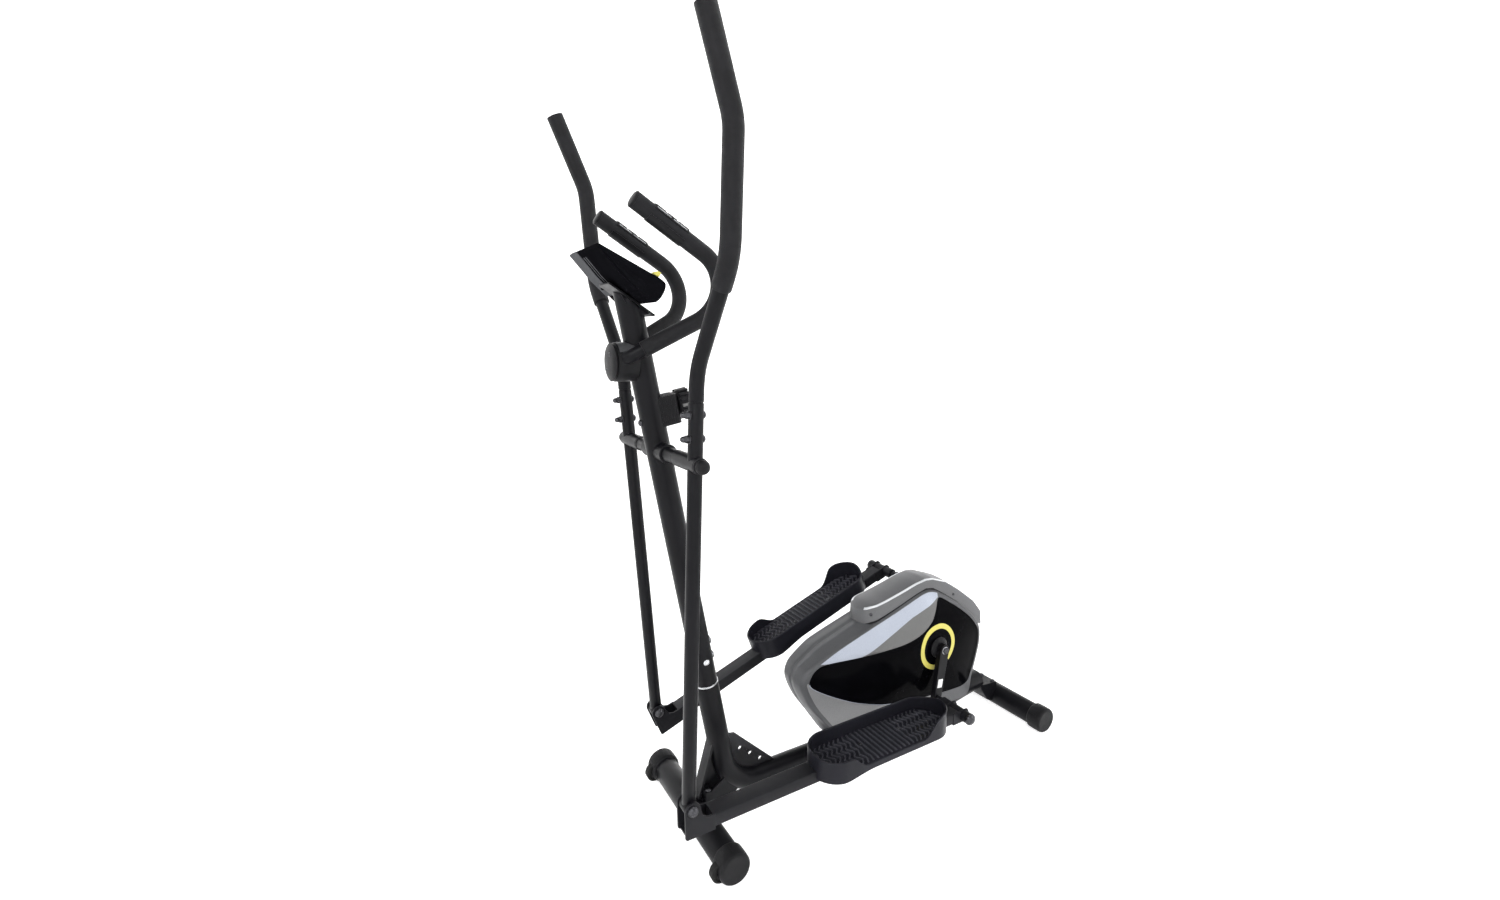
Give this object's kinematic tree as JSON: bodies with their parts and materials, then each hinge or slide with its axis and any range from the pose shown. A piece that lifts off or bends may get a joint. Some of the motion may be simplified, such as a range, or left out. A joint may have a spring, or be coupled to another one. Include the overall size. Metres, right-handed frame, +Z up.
{
  "type": "elliptical trainer",
  "caption": "Upright elliptical cross-trainer: curved black tube frame, swinging foam-gripped arms, pedal bars on a crank, grey housing with a gloss black panel, tension knob and console.",
  "frame": {"origin": "middle of the bounding box, on the floor", "axes": "+X to the front (the way the user faces), +Y to the user's left, +Z up"},
  "size_m": [1.2356, 0.615, 1.5724],
  "materials": {
    "frame_black": "satin",
    "steel_dark": "satin",
    "bolt_chrome": "polished",
    "plastic_black": "matte",
    "foam_black": "matte",
    "housing_grey": "satin",
    "housing_silver": "satin",
    "panel_gloss": "gloss",
    "ring_yellow": "satin",
    "screen_glass": "gloss",
    "flywheel_iron": "satin",
    "belt_rubber": "matte",
    "nylon_white": "satin"
  },
  "bodies": {
    "frame": {"main_frame": "frame_black", "front_stabiliser": "frame_black", "rear_stabiliser": "frame_black", "front_caps": "plastic_black", "rear_caps": "plastic_black", "stabiliser_bolts": "bolt_chrome", "wheel_pins": "steel_dark", "post": "frame_black", "post_bolts": "bolt_chrome", "pivot_axle": "frame_black", "pivot_bushes": "nylon_white", "axle_caps": "plastic_black", "fixed_handlebar": "frame_black", "handlebar_foam": "foam_black", "pulse_sensors": "bolt_chrome", "handlebar_plugs": "plastic_black", "clamp_cover": "plastic_black", "console_bracket": "frame_black", "console_body": "plastic_black", "console_screen": "screen_glass", "tension_housing": "plastic_black", "housing_left": "housing_silver", "housing_right": "housing_silver", "housing_cover": "housing_grey", "side_panel_left": "panel_gloss", "side_panel_right": "panel_gloss", "housing_screws": "plastic_black", "crank_bearings": "steel_dark", "flywheel_axle": "steel_dark", "drive_belt": "belt_rubber"},
    "wheel_left": {"transport_wheel_left": "plastic_black"},
    "wheel_right": {"transport_wheel_right": "plastic_black"},
    "mode_button": {"mode_button": "ring_yellow"},
    "tension_knob": {"tension_knob": "plastic_black"},
    "crank": {"crank_axle": "steel_dark", "crank_arm_left": "frame_black", "crank_arm_right": "frame_black", "crank_discs": "plastic_black", "drive_pulley": "plastic_black"},
    "flywheel": {"flywheel": "flywheel_iron", "flywheel_pulley": "steel_dark"},
    "magnet_bracket": {"magnet_bracket": "frame_black", "brake_magnets": "steel_dark"},
    "arm_left": {"lower_arm_left": "frame_black", "upper_arm_left": "frame_black", "grip_left": "foam_black", "arm_bolts_left": "bolt_chrome"},
    "arm_right": {"lower_arm_right": "frame_black", "upper_arm_right": "frame_black", "grip_right": "foam_black", "arm_bolts_right": "bolt_chrome"},
    "bar_left": {"pedal_bar_left": "frame_black", "pedal_left": "plastic_black", "joint_bolt_left": "bolt_chrome", "pedal_screws_left": "plastic_black"},
    "bar_right": {"pedal_bar_right": "frame_black", "pedal_right": "plastic_black", "joint_bolt_right": "bolt_chrome", "pedal_screws_right": "plastic_black"}
  },
  "joints": [
    {"name": "left_arm_swing", "type": "hinge", "parent": "frame", "child": "arm_left", "pos_m": [0.482, 0.17, 0.872], "axis": [0, 1, 0], "range_deg": [-11.25, 11.25]},
    {"name": "right_arm_swing", "type": "hinge", "parent": "frame", "child": "arm_right", "pos_m": [0.482, -0.17, 0.872], "axis": [0, 1, 0], "range_deg": [-11.25, 11.25]},
    {"name": "left_bar_pivot", "type": "hinge", "parent": "arm_left", "child": "bar_left", "pos_m": [0.50646, 0.17, 0.19894], "axis": [0, 1, 0], "range_deg": [-11.25, 11.25]},
    {"name": "right_bar_pivot", "type": "hinge", "parent": "arm_right", "child": "bar_right", "pos_m": [0.43733, -0.17, 0.19998], "axis": [0, 1, 0], "range_deg": [-11.25, 11.25]},
    {"name": "crank_turn", "type": "hinge", "parent": "frame", "child": "crank", "pos_m": [-0.254, 0, 0.296], "axis": [0, 1, 0], "continuous": true},
    {"name": "flywheel_spin", "type": "hinge", "parent": "frame", "child": "flywheel", "pos_m": [-0.01, 0.008, 0.262], "axis": [0, 1, 0], "continuous": true},
    {"name": "tension_knob_turn", "type": "hinge", "parent": "frame", "child": "tension_knob", "pos_m": [0.49697, 0, 0.952], "axis": [-0.9829, 0, 0.1839], "range_deg": [0, 280]},
    {"name": "magnet_bracket_tilt", "type": "hinge", "parent": "frame", "child": "magnet_bracket", "pos_m": [-0.094, -0.008, 0.348], "axis": [0, -1, 0], "range_deg": [0, 2.5]},
    {"name": "mode_button_press", "type": "slide", "parent": "frame", "child": "mode_button", "axis": [0.4368, 0, -0.8996], "range_m": [0, 0.0015], "stiffness_N_per_m": 400},
    {"name": "left_wheel_roll", "type": "hinge", "parent": "frame", "child": "wheel_left", "pos_m": [0.443, 0.177, 0.028], "axis": [0, 1, 0], "continuous": true},
    {"name": "right_wheel_roll", "type": "hinge", "parent": "frame", "child": "wheel_right", "pos_m": [0.443, -0.177, 0.028], "axis": [0, 1, 0], "continuous": true}
  ],
  "couplings": [
    {"joint": "right_arm_swing", "follows": "left_arm_swing", "ratio": -1},
    {"joint": "left_bar_pivot", "follows": "left_arm_swing", "ratio": -1},
    {"joint": "right_bar_pivot", "follows": "left_arm_swing", "ratio": 1},
    {"joint": "crank_turn", "follows": "left_arm_swing", "ratio": 8},
    {"joint": "flywheel_spin", "follows": "left_arm_swing", "ratio": 64},
    {"joint": "magnet_bracket_tilt", "follows": "tension_knob_turn", "ratio": 0.00892}
  ]
}
